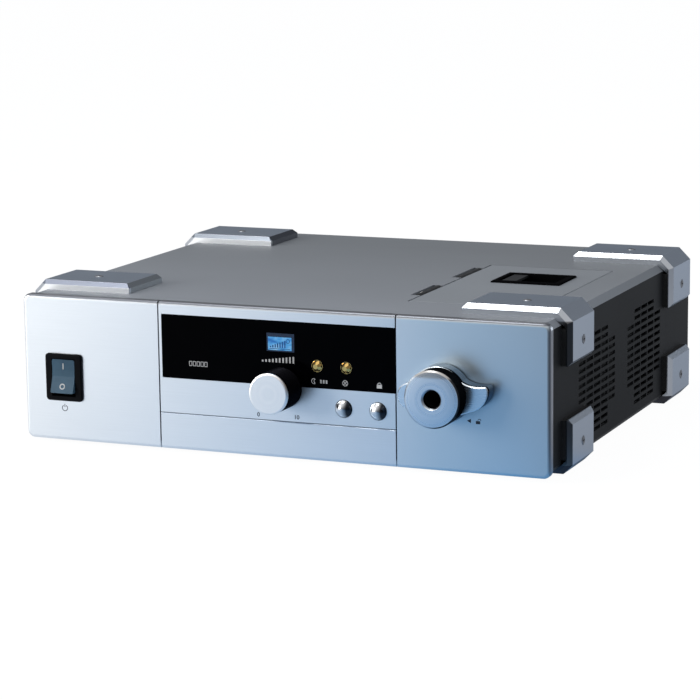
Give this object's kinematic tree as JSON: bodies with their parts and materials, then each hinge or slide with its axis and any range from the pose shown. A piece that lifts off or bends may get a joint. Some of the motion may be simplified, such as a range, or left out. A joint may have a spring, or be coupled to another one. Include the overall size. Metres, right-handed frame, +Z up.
{
  "type": "fiber optic illuminator",
  "caption": "Flat bench light source box with a light guide socket and locking lever, a turned dial, a power rocker, a hinged lamp door on top and corner guards.",
  "frame": {"origin": "middle of the underside, on the surface the feet stand on", "axes": "+X to the right seen from the front, -Y out of the front panel, +Z up"},
  "size_m": [0.374, 0.351, 0.1047],
  "materials": {
    "brushed_panel": "brushed",
    "gloss_black": "gloss",
    "zinc_sheet": "satin",
    "cover_grey": "satin metallic paint",
    "side_charcoal": "fine textured paint",
    "plated_steel": "bright zinc plate",
    "guard_alloy": "satin silver paint",
    "black_rubber": "matte",
    "black_plastic": "matte",
    "brass": "satin",
    "screen_blue": "backlit",
    "amber_lens": "clear amber",
    "board_green": "solder mask",
    "clear_glass": "polished",
    "black_metal": "matte black",
    "polished": "polished",
    "white_ceramic": "unglazed",
    "copper_winding": "lacquered",
    "sleeve_blue": "shrink sleeve",
    "rocker_grey": "satin",
    "knob_silver": "fine turned",
    "chrome": "polished",
    "latch_grey": "satin"
  },
  "bodies": {
    "chassis": {"panel_left": "brushed_panel", "panel_centre": "brushed_panel", "panel_lower": "brushed_panel", "panel_right": "brushed_panel", "display_window": "gloss_black", "front_frame": "zinc_sheet", "top_cover": "cover_grey", "door_ledge": "zinc_sheet", "side_panel_left": "side_charcoal", "side_panel_right": "side_charcoal", "base_tray": "side_charcoal", "rear_panel": "side_charcoal", "fan_guard": "plated_steel", "guards_upper": "guard_alloy", "guards_lower": "guard_alloy", "guard_rubbers": "black_rubber", "guard_screws": "plated_steel", "rear_screws": "plated_steel", "dial_sensor": "black_plastic", "switch_body": "black_plastic", "terminal_blades": "brass", "screen_module": "screen_blue", "status_lamps": "amber_lens", "control_board": "board_green", "board_parts": "black_plastic", "socket_nose": "brushed_panel", "socket_bush": "plated_steel", "bay_wall": "zinc_sheet", "vent_baffle": "zinc_sheet", "optics_bench": "zinc_sheet", "lenses": "clear_glass", "lens_barrel": "black_metal", "dimmer_motor": "plated_steel", "lamp_reflector": "polished", "lamp_bulb": "clear_glass", "lamp_base": "white_ceramic", "lamp_bracket": "zinc_sheet", "hinge_barrels": "plated_steel", "fan_frame": "black_plastic", "mains_inlet": "black_plastic", "earth_pin": "brass", "supply_chassis": "zinc_sheet", "supply_board": "board_green", "transformer": "copper_winding", "capacitors": "sleeve_blue", "ballast": "black_metal"},
    "power_rocker": {"power_rocker": "rocker_grey"},
    "brightness_knob": {"brightness_knob": "black_metal", "knob_cap": "knob_silver", "knob_shaft": "plated_steel"},
    "push_button_1": {"push_button_1": "chrome"},
    "push_button_2": {"push_button_2": "chrome"},
    "lock_lever": {"lock_lever": "brushed_panel"},
    "lamp_door": {"lamp_door": "cover_grey", "latch_housing": "black_plastic"},
    "latch_paddle": {"latch_paddle": "latch_grey"},
    "latch_bolt": {"latch_bolt": "plated_steel"},
    "dimmer_disc": {"dimmer_disc": "zinc_sheet"},
    "fan_rotor": {"fan_rotor": "black_plastic"},
    "fuse_drawer": {"fuse_drawer": "black_plastic"}
  },
  "joints": [
    {"name": "power_switch", "type": "hinge", "parent": "chassis", "child": "power_rocker", "pos_m": [-0.1517, -0.1475, 0.0449], "axis": [1, 0, 0], "range_deg": [0, 17]},
    {"name": "brightness_turn", "type": "hinge", "parent": "chassis", "child": "brightness_knob", "pos_m": [0.0042, -0.161, 0.0484], "axis": [0, 1, 0], "range_deg": [-135, 135]},
    {"name": "button_1_press", "type": "slide", "parent": "chassis", "child": "push_button_1", "axis": [0, 1, 0], "range_m": [0, 0.002], "stiffness_N_per_m": 300, "springref_m": -0.001},
    {"name": "button_2_press", "type": "slide", "parent": "chassis", "child": "push_button_2", "axis": [0, 1, 0], "range_m": [0, 0.002], "stiffness_N_per_m": 300, "springref_m": -0.001},
    {"name": "lock_lever_turn", "type": "hinge", "parent": "chassis", "child": "lock_lever", "pos_m": [0.1134, -0.157, 0.0526], "axis": [0, 1, 0], "range_deg": [0, 55]},
    {"name": "lamp_door_swing", "type": "hinge", "parent": "chassis", "child": "lamp_door", "pos_m": [0.0638, -0.012, 0.0958], "axis": [0, -1, 0], "range_deg": [0, 105]},
    {"name": "latch_paddle_press", "type": "hinge", "parent": "lamp_door", "child": "latch_paddle", "pos_m": [0.0978, 0.01, 0.095], "axis": [0, 1, 0], "range_deg": [0, 20], "stiffness_Nm_per_rad": 0.02, "springref_deg": -17.19},
    {"name": "latch_bolt_slide", "type": "slide", "parent": "lamp_door", "child": "latch_bolt", "axis": [-1, 0, 0], "range_m": [0, 0.0036]},
    {"name": "dimmer_turn", "type": "hinge", "parent": "chassis", "child": "dimmer_disc", "pos_m": [0.0894, -0.1044, 0.0526], "axis": [0, 1, 0], "range_deg": [-135, 135]},
    {"name": "fan_spin", "type": "hinge", "parent": "chassis", "child": "fan_rotor", "pos_m": [0.1134, 0.149, 0.052], "axis": [0, 1, 0], "continuous": true},
    {"name": "fuse_drawer_slide", "type": "slide", "parent": "chassis", "child": "fuse_drawer", "axis": [0, 1, 0], "range_m": [0, 0.018]}
  ],
  "couplings": [
    {"joint": "latch_paddle_press", "follows": "latch_bolt_slide", "rad_per_m": 95},
    {"joint": "dimmer_turn", "follows": "brightness_turn", "ratio": 1}
  ]
}
